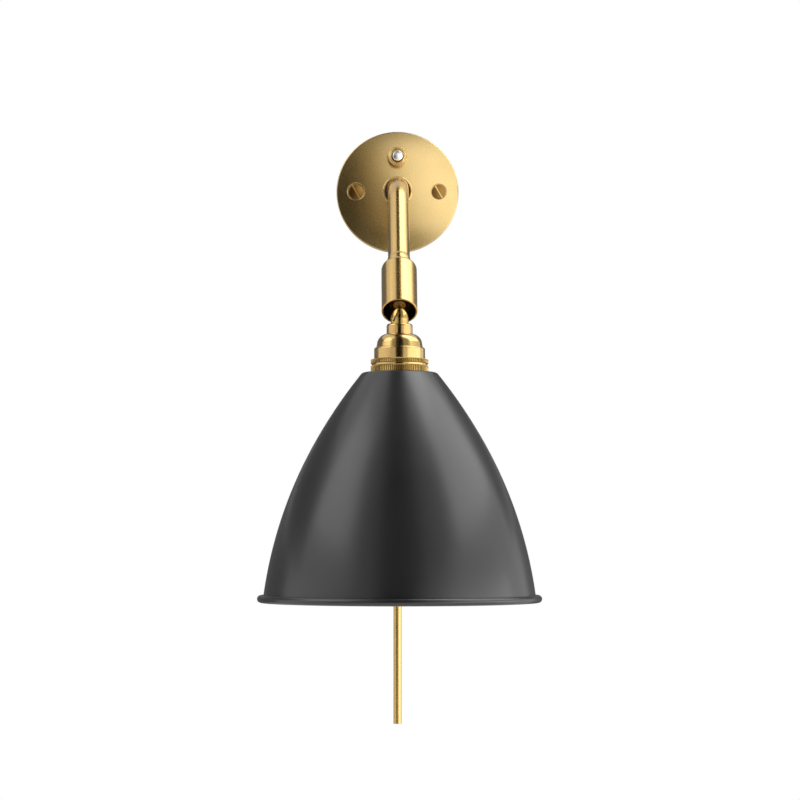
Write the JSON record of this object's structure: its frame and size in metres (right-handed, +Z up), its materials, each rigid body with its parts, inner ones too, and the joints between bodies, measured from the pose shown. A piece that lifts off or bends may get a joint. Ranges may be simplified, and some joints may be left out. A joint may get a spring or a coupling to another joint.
{
  "type": "wall lamp",
  "caption": "Brass wall lamp with a domed round wall plate, push switch, bent arm, ball joint in a sleeve, knurled lampholder rings, a dark spun bell shade and a cable tube down the wall.",
  "frame": {"origin": "centre of the wall plate on the wall plane", "axes": "+Z up, +Y into the wall, +X to the right of someone facing the wall"},
  "size_m": [0.1602, 0.1969, 0.3615],
  "materials": {
    "brass": "satin",
    "steel": "satin",
    "chrome": "polished",
    "black_plastic": "matt",
    "nylon": "matt",
    "ceramic": "glazed",
    "shade_paint": "matt"
  },
  "bodies": {
    "fixture": {"wall_plate": "brass", "plate_screw_left": "brass", "plate_screw_right": "brass", "mounting_strap": "steel", "earth_screw": "steel", "switch_collar": "brass", "switch_body": "black_plastic", "arm_tube": "brass", "arm_root_bush": "brass", "arm_root_washer": "steel", "arm_root_nut": "steel", "arm_collar": "brass", "joint_sleeve": "brass", "stud_plug": "brass", "ball_stud": "brass", "tube_socket": "brass", "cable_tube": "brass"},
    "button": {"switch_plunger": "chrome"},
    "head": {"knuckle_socket": "brass", "friction_seat": "nylon", "lampholder_nipple": "brass", "neck_ring": "brass", "lampholder_cap": "brass", "lampholder_skirt": "brass", "shade_ring_upper": "brass", "shade_ring_lower": "brass", "shade_ring_inner": "brass", "shade": "shade_paint", "holder_insulator": "ceramic", "screw_shell": "brass", "centre_contact": "brass"}
  },
  "joints": [
    {"name": "shade_tilt", "type": "hinge", "parent": "fixture", "child": "head", "pos_m": [0, -0.0938, -0.08601], "axis": [-1, 0, 0], "range_deg": [-1.5, 45]},
    {"name": "switch_press", "type": "slide", "parent": "fixture", "child": "button", "axis": [0, 1, 0], "range_m": [0, 0.002], "stiffness_N_per_m": 400, "springref_m": -0.003}
  ]
}
